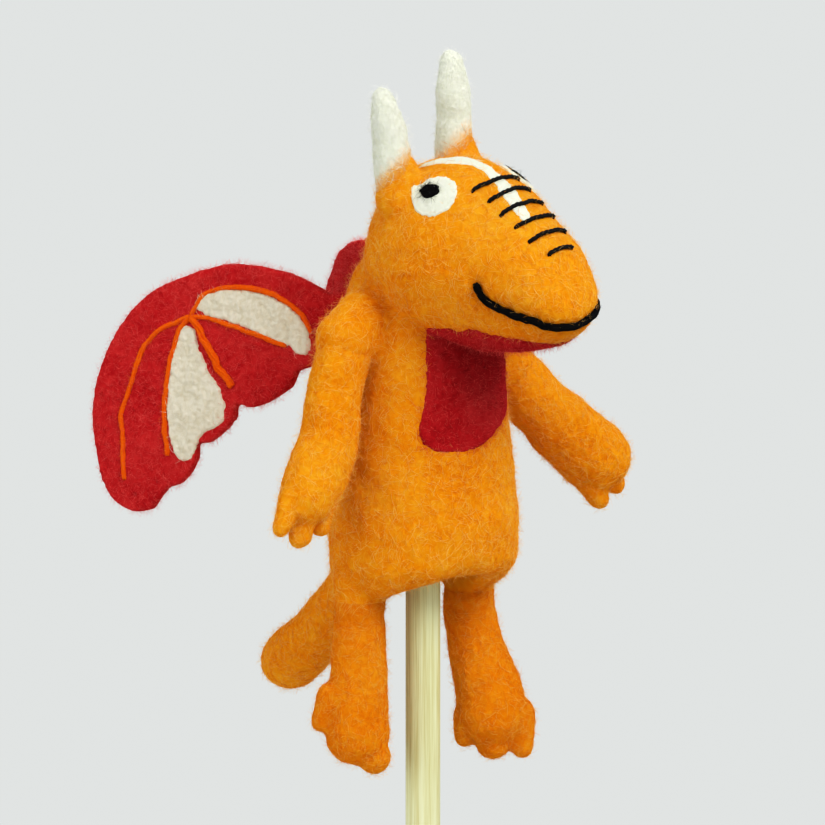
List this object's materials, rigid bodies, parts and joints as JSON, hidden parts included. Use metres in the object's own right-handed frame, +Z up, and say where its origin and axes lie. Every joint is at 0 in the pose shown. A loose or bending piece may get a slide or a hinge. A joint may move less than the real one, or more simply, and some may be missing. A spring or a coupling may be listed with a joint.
{
  "type": "felt finger puppet on a rod",
  "caption": "Needle-felted dragon finger puppet on a round bamboo rod, with a nodding head, hinged wings, arms, legs and tail; it pulls up off the rod to go on a finger.",
  "frame": {"origin": "centre of the rod's flat lower end", "axes": "+Z up the rod, -Y the way the dragon's body faces, -X its right side"},
  "size_m": [0.0938, 0.1167, 0.2529],
  "materials": {
    "orange_felt": "needle-felted wool, matt, with loose surface fibres",
    "red_felt": "needle-felted wool, matt, with loose surface fibres",
    "white_felt": "needle-felted wool, matt",
    "black_wool": "felted black wool",
    "black_thread": "twisted thread, slight sheen",
    "orange_roving": "thin strands of wool felted on",
    "core_wool": "undyed wadding",
    "bamboo": "smooth, unvarnished, fine lengthwise grain"
  },
  "bodies": {
    "rod": {"rod": "bamboo"},
    "wadding": {"rod_wadding": "core_wool"},
    "torso": {"body_shell": "orange_felt", "throat_bib": "red_felt"},
    "head": {"head_shell": "orange_felt", "head_core": "core_wool", "right_horn": "white_felt", "left_horn": "white_felt", "right_horn_base": "orange_felt", "left_horn_base": "orange_felt", "right_eye": "white_felt", "left_eye": "white_felt", "right_pupil": "black_wool", "left_pupil": "black_wool", "forehead_blaze": "white_felt", "nose_stitch_1": "black_thread", "nose_stitch_2": "black_thread", "nose_stitch_3": "black_thread", "nose_stitch_4": "black_thread", "nose_stitch_5": "black_thread", "nose_stitch_6": "black_thread", "mouth_line": "black_wool", "jaw_patch": "red_felt"},
    "right_arm": {"right_arm": "orange_felt"},
    "left_arm": {"left_arm": "orange_felt"},
    "right_leg": {"right_leg": "orange_felt"},
    "left_leg": {"left_leg": "orange_felt"},
    "tail": {"tail": "orange_felt"},
    "right_wing": {"right_wing": "red_felt", "right_wing_upper_panel": "white_felt", "right_wing_lower_panel": "white_felt", "right_wing_rib_crown": "orange_roving", "right_wing_rib_front": "orange_roving", "right_wing_rib_short": "orange_roving", "right_wing_rib_middle": "orange_roving", "right_wing_rib_outer": "orange_roving"},
    "left_wing": {"left_wing": "red_felt", "left_wing_upper_panel": "white_felt", "left_wing_lower_panel": "white_felt", "left_wing_rib_crown": "orange_roving", "left_wing_rib_front": "orange_roving", "left_wing_rib_short": "orange_roving", "left_wing_rib_middle": "orange_roving", "left_wing_rib_outer": "orange_roving"}
  },
  "joints": [
    {"name": "rod_turn", "type": "hinge", "parent": "rod", "child": "wadding", "pos_m": [0, 0, 0.145], "axis": [0, 0, 1], "continuous": true},
    {"name": "pull_off", "type": "slide", "parent": "wadding", "child": "torso", "axis": [0, 0, 1], "range_m": [0, 0.065]},
    {"name": "head_nod", "type": "hinge", "parent": "torso", "child": "head", "pos_m": [0, 0, 0.201], "axis": [1, 0, 0], "range_deg": [-18, 8], "stiffness_Nm_per_rad": 0.03},
    {"name": "right_arm_lift", "type": "hinge", "parent": "torso", "child": "right_arm", "pos_m": [-0.0196, 0, 0.196], "axis": [0, 1, 0], "range_deg": [0, 60], "stiffness_Nm_per_rad": 0.006},
    {"name": "left_arm_lift", "type": "hinge", "parent": "torso", "child": "left_arm", "pos_m": [0.0202, -0.001, 0.1895], "axis": [0, -1, 0], "range_deg": [-12, 45], "stiffness_Nm_per_rad": 0.006},
    {"name": "right_leg_swing", "type": "hinge", "parent": "torso", "child": "right_leg", "pos_m": [-0.0141, 0.0028, 0.1393], "axis": [1, 0, 0], "range_deg": [-30, 30], "stiffness_Nm_per_rad": 0.006},
    {"name": "left_leg_swing", "type": "hinge", "parent": "torso", "child": "left_leg", "pos_m": [0.0141, 0.0022, 0.1393], "axis": [1, 0, 0], "range_deg": [-30, 30], "stiffness_Nm_per_rad": 0.006},
    {"name": "tail_swing", "type": "hinge", "parent": "torso", "child": "tail", "pos_m": [0, 0.02, 0.146], "axis": [1, 0, 0], "range_deg": [-15, 25], "stiffness_Nm_per_rad": 0.006},
    {"name": "right_wing_flap", "type": "hinge", "parent": "torso", "child": "right_wing", "pos_m": [-0.00788, 0.01753, 0.197], "axis": [0, 0, 1], "range_deg": [-20, 20], "stiffness_Nm_per_rad": 0.006},
    {"name": "left_wing_flap", "type": "hinge", "parent": "torso", "child": "left_wing", "pos_m": [0.00763, 0.01765, 0.197], "axis": [0, 0, -1], "range_deg": [-20, 20], "stiffness_Nm_per_rad": 0.006}
  ]
}
